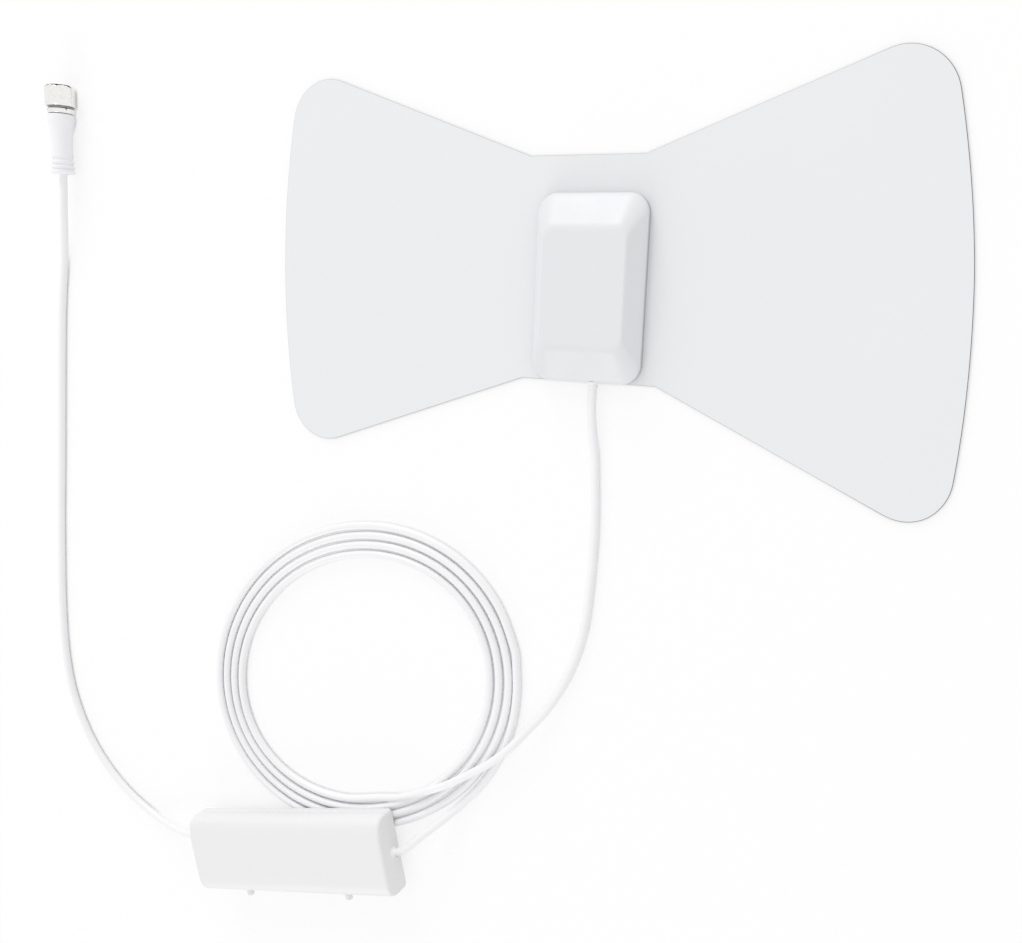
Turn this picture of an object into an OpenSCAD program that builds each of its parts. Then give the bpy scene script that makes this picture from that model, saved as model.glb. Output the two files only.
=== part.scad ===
// Indoor TV antenna: a thin bow-tie panel with a bevelled housing at its waist, a coiled lead,
// an amplifier box in the lead, and a short lead that ends in a screw-on coaxial plug.
// It all lies on one table: X runs along the wings, Y to the upper edge and Z up from the table.

/* [Panel] */
// Width of the panel over its two curved ends
wing_span = 251.5; // [220:0.5:300]
// Height of each wing end where its edges meet, before the corners are rounded
wing_tip_h = 149; // [130:1:180]
// How far each wing end bows outwards
end_bulge = 8; // [4:0.5:14]
// Radius of the four outer corners
corner_r = 16; // [8:0.5:24]
// Lean of the right wing's end for each unit of height above the middle line
end_lean = 0.085; // [0:0.005:0.12]
// Share by which the lower half of the right wing is deeper at its end
low_growth = 0.125; // [0:0.005:0.14]
// Distance that the straight waist runs on below the right wing
waist_run = 8; // [0:0.5:9]
// Height of the panel at its waist
neck_h = 78; // [74:1:100]
// Width of the straight waist between the wings
neck_w = 42; // [30:1:60]
// Thickness of each of the two plastic sheets
sheet_t = 0.5; // [0.3:0.05:1]
// Thickness of the metal foil between the sheets
foil_t = 0.1; // [0.05:0.01:0.15]
// Width of the sealed border between the foil and the edge of the sheet
seal_border = 7; // [4:0.5:12]
// Height of the foil where it is fed at the waist
feed_h = 14; // [10:1:24]

/* [Housing] */
// Width of the housing along the wings
housing_w = 40; // [36:1:46]
// Height of the housing
housing_h = 65; // [60:1:72]
// Height that the housing stands above the panel
housing_rise = 10.6; // [9:0.1:14]
// Height of the upright wall below the bevels
rim_h = 3.5; // [3.2:0.1:4.5]
// Width of the flat front of the housing
face_w = 30.5; // [24:0.5:32]
// Height of the flat front of the housing
face_h = 41; // [34:0.5:50]
// Radius of the upright corners of the housing
housing_r = 7; // [4:0.5:10]
// Softening of the edges between the bevels and the flat front
edge_soft = 0.9; // [0.4:0.1:1.4]
// Wall of the housing cover
housing_wall = 1.6; // [1.2:0.1:2.2]
// Distance of the housing from the middle of the panel along the wings
housing_x = 4; // [-4:0.5:6]
// Distance of the housing from the middle of the panel towards the upper edge
housing_y = -6.5; // [-8:0.5:-4]
// Width of the border of the base that overlaps the sheets
flange_lap = 3.2; // [2.6:0.1:4]
// Thickness of that border
flange_t = 1; // [0.8:0.1:1.4]

/* [Housing inside] */
// Distance of the screws from the long sides of the housing
screw_side = 8.5; // [8:0.5:10]
// Distance of the screws from the short sides of the housing
screw_end = 15; // [14:0.5:18]
// Gap between the base and the circuit board
board_gap = 0.8; // [0.5:0.1:1]
// Thickness of the circuit board
board_t = 1; // [0.8:0.1:1.2]
// Distance of the feed rivets from the edge of the base's window
rivet_inset = 1.3; // [1.2:0.1:1.5]
// Shaft diameter of the screws
screw_d = 1.9; // [1.6:0.1:2.2]
// Head diameter of the screws
screw_head_d = 3.6; // [3:0.1:4]
// Diameter of the feed rivets between foil and board
rivet_d = 1.8; // [1.4:0.1:2]
// Outer diameter of the ring core of the matching transformer
core_d = 9; // [7:0.5:10]
// Bore of the ring core
core_bore = 4; // [3:0.5:5]
// Height of the ring core
core_h = 2.6; // [2:0.1:3]

/* [Leads] */
// Diameter of the coaxial lead
lead_d = 3; // [2.6:0.1:3.2]
// Distance between neighbouring turns of the coil on its long axis
pitch_long = 3.8; // [3.2:0.1:4.2]
// Distance between neighbouring turns of the coil on its short axis
pitch_short = 3.1; // [3.1:0.1:3.6]
// Half of the long axis of the innermost turn
coil_long = 61.3; // [56:0.1:70]
// Half of the short axis of the innermost turn
coil_short = 51; // [46:0.5:56]
// Turn of the long axis of the coil on the table
coil_turn = 33; // [25:1:40]
// Turns in the coil
coil_turns = 3.75; // [3.75:0.25:4]
// Distance of the strain reliefs' ends from the wall
relief_out = 1.8; // [1.6:0.1:6]
// Neck diameter of the strain reliefs
relief_d = 4.6; // [4.2:0.1:5]

/* [Amplifier] */
// Length of the amplifier box
amp_l = 100; // [90:1:105]
// Width of the amplifier box
amp_w = 34; // [30:0.5:38]
// Height of the amplifier box without its feet
amp_h = 13.6; // [12:0.1:16]
// Height of the lower shell
amp_base_h = 5.4; // [4.8:0.1:6.5]
// Wall of both shells
amp_wall = 1.5; // [1.2:0.1:2]
// Height of the feet, which clears the coil that passes below
foot_h = 3.2; // [3.2:0.1:4.5]
// Width of each foot
foot_w = 6.5; // [4:0.5:9]
// How far the feet stand out of the long side
foot_out = 1.2; // [0.6:0.1:2]
// Distance of the feet from the middle of the box
foot_dx = 25; // [15:1:34]
// Diameter of the round nubs on the same long side
nub_d = 3; // [2.4:0.2:4]
// How far the nubs stand out of the side
nub_out = 2.2; // [1:0.2:3]
// Height of the nubs above the table
nub_z = 12; // [11:0.5:13]
// Distance of the nubs from the middle of the box
nub_dx = 26; // [15:1:34]
// Distance of the television lead's exit from the middle of the end
exit_dy = 6; // [0:0.5:6.5]
// Turn of the box on the table
amp_turn = 14; // [8:1:16]
// Distance of the box screws from the ends of the box
amp_screw_end = 9; // [8:0.5:13]
// Distance of the box screws from the long sides of the box
amp_screw_side = 6.5; // [6:0.5:8]
// Length of the screening can
can_l = 42; // [30:1:50]
// Width of the screening can
can_w = 17; // [12:1:18]
// Height of the screening can
can_h = 4.2; // [3:0.1:4.6]

/* [Plug] */
// Width of the plug's nut over its flats
nut_af = 11.1; // [11:0.1:12]
// Length of the hexagonal part of the nut
nut_hex_l = 8.6; // [7:0.1:10]
// Length of the round collar of the nut
nut_collar_l = 2.9; // [2:0.1:4]
// Bore of the nut at its threaded end
nut_bore = 8.9; // [8.6:0.1:9]
// Length of the moulded grip
grip_l = 24.6; // [20:0.2:30]
// Diameter of the grip next to the nut
grip_front_d = 10.9; // [10:0.1:11]
// Diameter of the grip along its middle
grip_mid_d = 8.8; // [8:0.1:9.6]
// Number of bend-relief rings at the back of the grip
grip_rings = 3; // [2:1:4]
// Distance from one ring to the next
ring_pitch = 2; // [1.6:0.1:2.4]
// Diameter of the metal body inside the nut
body_d = 6.4; // [6:0.1:6.8]
// Diameter of the centre conductor
pin_d = 1; // [0.8:0.1:1.2]
// Clearance between parts that turn or slide past each other
run_clear = 0.2; // [0.1:0.05:0.3]
// Clearance between parts that sit in each other
fit_clear = 0.1; // [0.05:0.05:0.15]

/* [Hidden] */

$fn = 48;
white = "#ECEBED";
pale = "#DEDFE1";

// Panel
wing_tip_x = wing_span / 2 - end_bulge;
panel_t = 2 * sheet_t;
foil_z = sheet_t;
window_w = housing_w - 2 * (housing_wall + fit_clear + flange_lap);
window_h = housing_h - 2 * (housing_wall + fit_clear + flange_lap);
corner_steps = 8;
end_steps = 20;

// Housing
inner_turn = 0.6;
flange_r = housing_r - inner_turn * housing_wall;
flange_w = window_w + 2 * flange_lap;
flange_h = window_h + 2 * flange_lap;
rim_z = panel_t + rim_h;
roof_z = panel_t + housing_rise;
inner_roof_z = roof_z - housing_wall;
screw_dx = housing_w / 2 - screw_side;
screw_dy = housing_h / 2 - screw_end;
rivet_dx = window_w / 2 + rivet_inset;
rivet_foot_z = foil_z + foil_t;
rivet_head_h = 0.4;
rivet_head_out = 0.4;
boss_r = 2.6;
hole_clear = 0.3;
board_z = panel_t + flange_t + board_gap;
board_w = housing_w - 2 * (housing_wall + hole_clear);
board_h = 2 * screw_dy + 2 * boss_r;
head_h = 1;
feed_inner = window_w / 2 + fit_clear;

// Leads
lead_r = lead_d / 2;
bore_r = lead_r + 0.12;
relief_r = relief_d / 2;
relief_tip_r = lead_r + 0.25;
relief_in = 4;
lead_exit_x = 7;
lead_exit_z = panel_t + flange_t + fit_clear + relief_r;
coil_x = -89.8;
coil_y = -167.9;
coil_steps = 72;
tube_sides = 8;

// Amplifier
amp_x = -115.2;
amp_y = -247.8;
amp_axis_z = foot_h + amp_base_h;
amp_top_z = foot_h + amp_h;
amp_end_soft = 1.4;
arch_steps = 16;
amp_board_t = 1;
amp_board_z = amp_axis_z - amp_board_t;
amp_boss_r = 2.7;
amp_screw_dx = amp_l / 2 - amp_screw_end;
amp_screw_dy = amp_w / 2 - amp_screw_side;
shelf = 2;

// Plug
plug_x = -239;
plug_y = 35.4;
plug_z = nut_af / 2;
grip_front_y = plug_y + grip_l;
nut_y = grip_front_y + run_clear;
nut_l = nut_hex_l + nut_collar_l;
flange_y = nut_y + nut_collar_l + run_clear;
flange_l = 1.2;
thread_y = nut_y + nut_collar_l;

// Route of the lead from the housing to the inside of the coil
antenna_route = [
  [7, -29, 4.4], [7, -38, 4.4], [7, -47, 4.4], [7.5, -55, 3.5], [8.6, -64, 2], [9.9, -75, 1.5],
  [11, -88, 1.5], [11.2, -101, 1.5], [10.4, -114, 1.5], [8.6, -127, 1.5], [5.4, -140, 1.5],
  [1, -152, 1.6], [-5, -163, 2.4], [-12, -173, 4], [-19, -181.6, 4.8], [-27, -189.4, 4.8],
  [-36, -196.2, 4.8], [-46, -202.4, 4.7], [-57, -208.1, 4], [-67.8, -214.2, 2.2],
  [-77.3, -218.2, 1.5]
];

// Route of the lead from the outermost turn to the amplifier
tail_route = [
  [-19.5, -142.8, 1.5], [-17.4, -151.2, 1.5], [-16.5, -161, 1.5], [-17.5, -171.8, 1.5],
  [-20.6, -182.6, 1.5], [-25.2, -192.9, 1.5], [-30.6, -202, 1.5], [-36.2, -208.9, 1.8],
  [-42, -215.3, 3.1], [-48.5, -221.7, 5.4], [-54.6, -227.9, 7.6], [-60.3, -232.9, 8.5],
  [-64.9, -235.25, 8.6], [-69.6, -236.4, 8.6]
];

// Route of the lead from the amplifier to the plug
tv_route = [
  [-162.3, -253.4, 8.6], [-166.9, -254.5, 8.6], [-173.4, -255.7, 8], [-181.3, -256, 6.2],
  [-189.8, -255.7, 4], [-198.6, -254.2, 2.2], [-207, -251.2, 1.5], [-214.9, -246.9, 1.5],
  [-222.2, -241.6, 1.5], [-228.7, -235.6, 1.5], [-234.6, -228.8, 1.5], [-239.7, -221.3, 1.5],
  [-243.9, -213.2, 1.5], [-247.4, -204.2, 1.5], [-249.9, -194.3, 1.5], [-251.4, -183, 1.5],
  [-252.1, -170, 1.5], [-252.1, -153, 1.5], [-251.6, -136, 1.5], [-250.9, -119, 1.5],
  [-250, -102, 1.5], [-249.1, -85, 1.5], [-248.2, -68, 1.5], [-247.3, -51, 1.5], [-246.2, -34, 1.5],
  [-244.7, -17, 1.5], [-242.7, -3, 1.9], [-240.7, 9, 3.6], [-239.4, 20, 5.2], [-239, 31, 5.55],
  [-239, 43, 5.55]
];

// One wing of the bow tie as half an outline: a straight edge that rises from [a, hn] to the tip,
// a rounded corner, the bowed end, and the same mirrored below
function wing_half(a, hn, x0, t, b, r) =
  let(
    s = (t - hn) / (x0 - a),
    re = (t * t + b * b) / (2 * b),
    cx = x0 + b - re,
    c0 = hn - s * a - r * sqrt(1 + s * s),
    qa = 1 + s * s,
    qb = 2 * (s * c0 - cx),
    qc = cx * cx + c0 * c0 - (re - r) * (re - r),
    px = (-qb + sqrt(qb * qb - 4 * qa * qc)) / (2 * qa),
    py = s * px + c0,
    g1 = 90 + atan(s),
    g2 = atan2(py, px - cx)
  )
  concat(
    [[a, hn]],
    [for (i = [0:corner_steps]) let(g = g1 + (g2 - g1) * i / corner_steps)
      [px + r * cos(g), py + r * sin(g)]],
    [for (i = [1:end_steps - 1]) let(g = g2 * (1 - 2 * i / end_steps)) [cx + re * cos(g), re * sin(g)]],
    [for (i = [corner_steps:-1:0]) let(g = g1 + (g2 - g1) * i / corner_steps)
      [px + r * cos(g), -py - r * sin(g)]],
    [[a, -hn]]
  );

// The right wing: its end leans out at the bottom, and its lower half starts further out and is deeper
function leaned(points) = [for (q = points)
  let(
    share = max(0, (q[0] - neck_w / 2) / (wing_tip_x - neck_w / 2)),
    run = q[1] < 0 ? waist_run * max(0, 1 - share) : 0,
    growth = q[1] < 0 ? low_growth * share : 0
  )
  [q[0] + run - end_lean * share * q[1], q[1] * (1 + growth)]];

function mirrored(points) = [for (i = [len(points) - 1:-1:0]) [-points[i][0], points[i][1]]];

function on_table(p, r) = [for (q = p) [q[0], q[1], max(q[2], r)]];

function unit(v) = v / norm(v);
function along(p, i) = unit(p[min(i + 1, len(p) - 1)] - p[max(i - 1, 0)]);

// Closed skin over a row of sections, each a ring of as many points
module loft(sections) {
  n = len(sections[0]);
  last = len(sections) - 1;
  walls = [for (i = [0:last - 1]) for (k = [0:n - 1])
    let(a = i * n + k, b = i * n + (k + 1) % n)
    for (face = [[a, a + n, b + n], [a, b + n, b]]) face];
  near_end = [[for (k = [0:n - 1]) k]];
  far_end = [[for (k = [n - 1:-1:0]) last * n + k]];
  polyhedron(points = [for (ring = sections) for (q = ring) q], faces = concat(walls, near_end, far_end));
}

// Round lead along a route: one ring of corners at each point, square to the route
module lead_tube(route, r) {
  path = on_table(route, r);
  loft([for (i = [0:len(path) - 1])
    let(t = along(path, i), side = unit(cross([0, 0, 1], t)), up = cross(t, side))
    [for (k = [0:tube_sides - 1])
      let(g = (k + 0.5) * 360 / tube_sides) path[i] + r * (cos(g) * side + sin(g) * up)]]);
}

function round_rect_points(w, h, r) = [for (q = [0:3]) for (i = [0:corner_steps])
  let(g = (q + i / corner_steps) * 90, sx = (q == 0 || q == 3) ? 1 : -1, sy = q < 2 ? 1 : -1)
  [sx * (w / 2 - r) + r * cos(g), sy * (h / 2 - r) + r * sin(g)]];

module round_rect(w, h, r) {
  polygon(round_rect_points(w, h, r));
}

module at_housing() {
  translate([housing_x, housing_y, 0]) children();
}

module at_amp() {
  translate([amp_x, amp_y, 0]) rotate([0, 0, amp_turn]) children();
}

module at_plug() {
  translate([plug_x, 0, plug_z]) rotate([-90, 0, 0]) children();
}

// Panel
module panel_outline() {
  wing = wing_half(neck_w / 2, neck_h / 2, wing_tip_x, wing_tip_h / 2, end_bulge, corner_r);
  polygon(concat(leaned(wing), mirrored(wing)));
}

module foil_outline(side, grow) {
  feed_x = feed_inner + side * housing_x;
  points = wing_half(neck_w / 2 + seal_border, feed_h + grow, wing_tip_x - seal_border + grow,
    wing_tip_h / 2 - 1.6 * seal_border + grow, end_bulge, corner_r - seal_border / 2 + grow);
  tab = [[feed_x - grow, -feed_h / 2 - grow], [feed_x - grow, feed_h / 2 + grow]];
  outline = concat(tab, side > 0 ? leaned(points) : points);
  polygon([for (q = outline) [side * q[0], q[1]]]);
}

module window_outline(grow) {
  at_housing() round_rect(window_w + 2 * grow, window_h + 2 * grow, housing_r / 3);
}

module rivet_holes(r) {
  for (side = [-1, 1]) translate([housing_x + side * rivet_dx, 0, -1]) cylinder(h = panel_t + 2, r = r);
}

module back_sheet() {
  color(pale) linear_extrude(sheet_t) difference() {
    panel_outline();
    window_outline(0);
  }
}

module front_sheet() {
  color(white) difference() {
    translate([0, 0, sheet_t]) linear_extrude(sheet_t) difference() {
      panel_outline();
      window_outline(0);
    }
    for (side = [-1, 1]) translate([0, 0, 0]) linear_extrude(foil_z + foil_t + 0.02)
      foil_outline(side, fit_clear);
    rivet_holes(rivet_d / 2 + fit_clear);
  }
}

module element(side) {
  color("silver") translate([0, 0, foil_z]) linear_extrude(foil_t) foil_outline(side, 0);
}

module left_element() {
  element(-1);
}

module right_element() {
  element(1);
}

// Housing
module at_screws(dx, dy) {
  for (sx = [-1, 1]) for (sy = [-1, 1]) translate([sx * dx, sy * dy, 0]) children();
}

module housing_base() {
  color(pale) difference() {
    union() {
      linear_extrude(panel_t) window_outline(-fit_clear);
      at_housing() {
        translate([0, 0, panel_t]) linear_extrude(flange_t) round_rect(flange_w, flange_h, flange_r);
        at_screws(screw_dx, screw_dy) cylinder(h = board_z, r = boss_r);
      }
    }
    at_housing() at_screws(screw_dx, screw_dy) {
      translate([0, 0, -1]) cylinder(h = board_z + 2, r = screw_d / 2 + fit_clear);
      translate([0, 0, -1]) cylinder(h = 1 + head_h + fit_clear, r = screw_head_d / 2 + fit_clear);
    }
    translate([housing_x, 0, 0]) for (side = [-1, 1]) translate([side * rivet_dx, 0, panel_t - 1])
      cylinder(h = flange_t + 2, r = rivet_d / 2 + fit_clear);
  }
}

// Bevelled block: an upright rim, four bevels that rise to the flat front, and soft edges.
// Each level has a height, its share of the way from rim to front, and its softening
module bevelled_block(inset, foot_z, top_z) {
  loft([for (level = [
      [foot_z, 0, 0], [rim_z - edge_soft, 0, 0], [rim_z - edge_soft * 0.3, 0.01, 0], [rim_z, 0.04, 0.1],
      [top_z - edge_soft * 0.8, 0.86, 0], [top_z - edge_soft * 0.3, 0.94, 0.2], [top_z, 1, 1]
    ])
    let(
      w = housing_w + (face_w - housing_w) * level[1] - level[2] * edge_soft - 2 * inset,
      h = housing_h + (face_h - housing_h) * level[1] - level[2] * edge_soft - 2 * inset,
      r = housing_r - 3 * level[1] - inset * inner_turn
    )
    [for (q = round_rect_points(w, h, r)) [q[0], q[1], level[0]]]
  ]);
}

module housing_cover() {
  color(white) difference() {
    union() {
      difference() {
        at_housing() bevelled_block(0, panel_t, roof_z);
        at_housing() bevelled_block(housing_wall, panel_t - 1, inner_roof_z);
      }
      at_housing() at_screws(screw_dx, screw_dy) translate([0, 0, board_z + board_t])
        cylinder(h = inner_roof_z - board_z - board_t + 0.3, r = boss_r - 0.2);
    }
    at_housing() at_screws(screw_dx, screw_dy) translate([0, 0, board_z])
      cylinder(h = inner_roof_z - board_z - 0.4, r = screw_d / 2 + fit_clear / 2);
    translate([lead_exit_x, housing_y - housing_h / 2 - 1, lead_exit_z]) rotate([-90, 0, 0])
      cylinder(h = housing_wall + 5, r = relief_r + fit_clear);
  }
}

module antenna_board() {
  color("#3F7A4C") difference() {
    at_housing() translate([0, 0, board_z]) linear_extrude(board_t) round_rect(board_w, board_h, 1.5);
    at_housing() at_screws(screw_dx, screw_dy) translate([0, 0, board_z - 1])
      cylinder(h = board_t + 2, r = screw_d / 2 + hole_clear);
    for (side = [-1, 1]) translate([housing_x + side * rivet_dx, 0, board_z - 1])
      cylinder(h = board_t + 2, r = rivet_d / 2 + fit_clear);
  }
}

module ring_core() {
  color("#3A3B3E") at_housing() translate([0, -housing_y, board_z + board_t]) rotate_extrude()
    translate([core_bore / 2, 0]) round_bar((core_d - core_bore) / 2, core_h, 0.4);
}

// Flat bar section with its corner at the origin and softened corners
module round_bar(w, h, c) {
  polygon([[c, 0], [w - c, 0], [w, c], [w, h - c], [w - c, h], [c, h], [0, h - c], [0, c]]);
}

// Rivet that joins the foil to the board
module terminal(side) {
  foot_r = rivet_d / 2;
  color("#C9A24B") translate([housing_x + side * rivet_dx, 0, rivet_foot_z]) rotate_extrude() polygon([
    [0, 0], [foot_r, 0], [foot_r, board_z + board_t - rivet_foot_z],
    [foot_r + rivet_head_out, board_z + board_t - rivet_foot_z],
    [foot_r + rivet_head_out / 2, board_z + board_t - rivet_foot_z + rivet_head_h],
    [0, board_z + board_t - rivet_foot_z + rivet_head_h]
  ]);
}

module left_terminal() {
  terminal(-1);
}

module right_terminal() {
  terminal(1);
}

// Pan-head screw that points up from the underside of a shell
module screw(head_r, shank_r, length) {
  recess_r = head_r * 0.45;
  rotate_extrude() polygon([
    [0, head_h * 0.5], [recess_r, head_h * 0.5], [recess_r, 0], [head_r * 0.8, 0], [head_r, head_h * 0.3],
    [head_r, head_h], [shank_r, head_h], [shank_r, length - shank_r], [0, length]
  ]);
}

module housing_screws() {
  color("#B9BCC0") at_housing() at_screws(screw_dx, screw_dy)
    screw(screw_head_d / 2, screw_d / 2, inner_roof_z - 1.2);
}

// Rubber strain relief along +Z: a neck that sits in the wall and a tail that tapers to the lead
module relief() {
  color(white) rotate_extrude() polygon([
    [bore_r, -relief_in], [relief_r, -relief_in], [relief_r, 0.15], [relief_r - 0.3, 0.5],
    [relief_tip_r, relief_out], [bore_r, relief_out]
  ]);
}

module lead_relief() {
  translate([lead_exit_x, housing_y - housing_h / 2, lead_exit_z]) rotate([90, 0, 0]) relief();
}

// Leads
module oval(turns, edge) {
  half_long = coil_long + turns * pitch_long + edge;
  half_short = coil_short + turns * pitch_short + edge;
  polygon([for (i = [0:coil_steps - 1])
    let(g = i * 360 / coil_steps) [half_long * cos(g), half_short * sin(g)]]);
}

module lead_coil() {
  color(white) translate([coil_x, coil_y, 0]) rotate([0, 0, coil_turn]) linear_extrude(lead_d) difference() {
    oval(coil_turns, lead_r);
    oval(0, -lead_r);
  }
}

module antenna_lead() {
  color(white) lead_tube(antenna_route, lead_r);
}

module lead_tail() {
  color(white) lead_tube(tail_route, lead_r);
}

module tv_lead() {
  color(white) lead_tube(tv_route, lead_r);
}

// Amplifier: section of the closed box across its length, with an arched top
function amp_section(inset) =
  let(w = amp_w / 2 - inset, z0 = foot_h + inset, z1 = amp_axis_z, z2 = amp_top_z - inset, c = 1.6)
  concat(
    [[-w + c, z0], [w - c, z0], [w - 0.5 * c, z0 + 0.15 * c], [w, z0 + c]],
    [for (i = [0:arch_steps]) let(g = i * 180 / arch_steps, u = cos(g))
      [w * sign(u) * pow(abs(u), 0.42), z1 + (z2 - z1) * pow(sin(g), 0.62)]],
    [[-w, z0 + c], [-w + 0.5 * c, z0 + 0.15 * c]]
  );

module amp_block() {
  half = [[amp_l / 2, 1.1], [amp_l / 2 - amp_end_soft * 0.3, 0.35], [amp_l / 2 - amp_end_soft, 0]];
  ends = concat([for (e = half) [-e[0], e[1]]], [for (i = [2:-1:0]) half[i]]);
  loft([for (e = ends) [for (q = amp_section(e[1])) [e[0], q[0], q[1]]]]);
}

module amp_hollow() {
  inner_l = amp_l - 2 * amp_wall;
  translate([-inner_l / 2, 0, 0]) rotate([90, 0, 90]) linear_extrude(inner_l) polygon(amp_section(amp_wall));
}

module amp_half(z0, z1) {
  intersection() {
    difference() {
      amp_block();
      amp_hollow();
    }
    translate([-amp_l, -amp_w, z0]) cube([2 * amp_l, 2 * amp_w, z1 - z0]);
  }
}

module relief_bores() {
  for (end = [[-1, exit_dy], [1, 0]]) translate([end[0] * (amp_l / 2 - relief_in - 1), end[1], amp_axis_z])
    rotate([0, end[0] * 90, 0]) cylinder(h = relief_in + 3, r = relief_r + fit_clear);
}

module amp_base() {
  color(white) at_amp() difference() {
    union() {
      amp_half(0, amp_axis_z);
      at_screws(amp_screw_dx, amp_screw_dy) translate([0, 0, foot_h + 0.5])
        cylinder(h = amp_board_z - foot_h - 0.5, r = amp_boss_r);
      for (side = [-1, 1]) translate([side * foot_dx - foot_w / 2, -amp_w / 2 - foot_out, 0])
        cube([foot_w, foot_out + 4, foot_h + 1.2]);
    }
    relief_bores();
    at_screws(amp_screw_dx, amp_screw_dy) {
      translate([0, 0, foot_h - 1]) cylinder(h = amp_h, r = screw_d / 2 + fit_clear);
      translate([0, 0, foot_h - 1]) cylinder(h = 1 + head_h + fit_clear, r = screw_head_d / 2 + fit_clear);
    }
  }
}

module amp_cover() {
  color(white) at_amp() difference() {
    union() {
      amp_half(amp_axis_z, amp_top_z + 1);
      at_screws(amp_screw_dx, amp_screw_dy) translate([0, 0, amp_axis_z])
        cylinder(h = 0.84 * (amp_top_z - amp_axis_z), r = amp_boss_r);
      for (side = [-1, 1]) translate([side * nub_dx, 1.2 - amp_w / 2, nub_z]) rotate([90, 0, 0])
        cylinder(h = nub_out + 1.2, r = nub_d / 2);
    }
    relief_bores();
    at_screws(amp_screw_dx, amp_screw_dy) translate([0, 0, amp_axis_z - 1])
      cylinder(h = 1 + (amp_top_z - amp_axis_z) / 2, r = screw_d / 2 + fit_clear / 2);
  }
}

module amp_board() {
  board_l = amp_l - 2 * (relief_in + shelf);
  color("#3F7A4C") at_amp() difference() {
    translate([0, 0, amp_board_z]) linear_extrude(amp_board_t)
      round_rect(board_l, amp_w - 2 * (amp_wall + fit_clear) - 1, 1.5);
    at_screws(amp_screw_dx, amp_screw_dy) translate([0, 0, amp_board_z - 1])
      cylinder(h = amp_board_t + 2, r = screw_d / 2 + hole_clear);
  }
}

module amp_shield() {
  can_t = 0.4;
  color("#C8CACC") at_amp() translate([0, 0, amp_board_z + amp_board_t]) difference() {
    linear_extrude(can_h) round_rect(can_l, can_w, 1.2);
    translate([0, 0, -1]) linear_extrude(can_h + 1 - can_t)
      round_rect(can_l - 2 * can_t, can_w - 2 * can_t, 0.8);
  }
}

module amp_screws() {
  color("#B9BCC0") at_amp() at_screws(amp_screw_dx, amp_screw_dy) translate([0, 0, foot_h])
    screw(screw_head_d / 2, screw_d / 2, amp_base_h + (amp_top_z - amp_axis_z) / 2 - 0.3);
}

module amp_input_relief() {
  at_amp() translate([amp_l / 2, 0, amp_axis_z]) rotate([0, 90, 0]) relief();
}

module amp_output_relief() {
  at_amp() translate([-amp_l / 2, exit_dy, amp_axis_z]) rotate([0, -90, 0]) relief();
}

// Plug: its axis runs along the lead, with every part turned about it
module plug_grip() {
  mid_r = grip_mid_d / 2;
  front_r = grip_front_d / 2;
  rings_l = grip_rings * ring_pitch;
  pocket_r = body_d / 2 + fit_clear;
  rings = [for (i = [0:grip_rings - 1]) for (q = [[0, -0.55], [0.25, 0.3], [0.75, 0.3], [1, -0.55]])
    [mid_r + q[1], plug_y + ring_pitch * (i + q[0] * 0.8)]];
  color(white) at_plug() rotate_extrude() polygon(concat(
    [[bore_r, plug_y]], rings,
    [[mid_r, plug_y + rings_l], [mid_r, grip_front_y - 9], [mid_r + 0.25, grip_front_y - 6.6],
      [front_r - 0.2, grip_front_y - 4.4], [front_r, grip_front_y - 3.6], [front_r, grip_front_y - 0.5],
      [front_r - 0.5, grip_front_y], [pocket_r, grip_front_y], [pocket_r, grip_front_y - 9],
      [bore_r, grip_front_y - 9]]
  ));
}

module plug_body() {
  barrel_r = body_d / 2;
  flange_r = nut_bore / 2 - run_clear - 0.3;
  core_r = lead_r * 0.8;
  color("#C9CBCE") at_plug() rotate_extrude() polygon([
    [core_r, grip_front_y - 9 + fit_clear], [barrel_r, grip_front_y - 9 + fit_clear], [barrel_r, flange_y],
    [flange_r, flange_y], [flange_r, flange_y + flange_l], [core_r + 0.8, flange_y + flange_l],
    [core_r + 0.8, flange_y + flange_l + 0.8], [core_r, flange_y + flange_l + 0.8]
  ]);
}

module plug_insulator() {
  core_r = lead_r * 0.8 - fit_clear / 2;
  color("#F4F2EA") at_plug() rotate_extrude() polygon([
    [pin_d / 2 + 0.02, grip_front_y - 5], [core_r, grip_front_y - 5],
    [core_r, flange_y + flange_l + 0.6], [pin_d / 2 + 0.02, flange_y + flange_l + 0.6]
  ]);
}

module centre_pin() {
  color("#C98B5A") at_plug() translate([0, 0, grip_front_y - 5])
    cylinder(h = nut_y + nut_l - 0.6 - (grip_front_y - 5), r = pin_d / 2);
}

module coupling_nut() {
  corner = nut_af / 2 / cos(30);
  thread_r = nut_bore / 2;
  collar_r = nut_af / 2 - 0.1;
  color("#D5D7DA") at_plug() difference() {
    union() {
      intersection() {
        translate([0, 0, thread_y]) cylinder(h = nut_hex_l, r = corner, $fn = 6);
        rotate_extrude() polygon([
          [0, thread_y], [nut_af / 2 + 0.1, thread_y], [corner + 0.05, thread_y + 0.6],
          [corner + 0.05, thread_y + nut_hex_l - 0.8], [nut_af / 2 - 0.1, thread_y + nut_hex_l],
          [0, thread_y + nut_hex_l]
        ]);
      }
      rotate_extrude() polygon([
        [0, nut_y], [collar_r - 0.4, nut_y], [collar_r, nut_y + 0.4], [collar_r, nut_y + nut_collar_l - 1],
        [collar_r - 0.5, nut_y + nut_collar_l - 0.6], [collar_r - 0.5, thread_y + 0.1], [0, thread_y + 0.1]
      ]);
    }
    translate([0, 0, nut_y - 1]) cylinder(h = nut_l + 2, r = body_d / 2 + run_clear);
    translate([0, 0, thread_y]) cylinder(h = nut_hex_l + 1, r = thread_r);
  }
}

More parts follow.
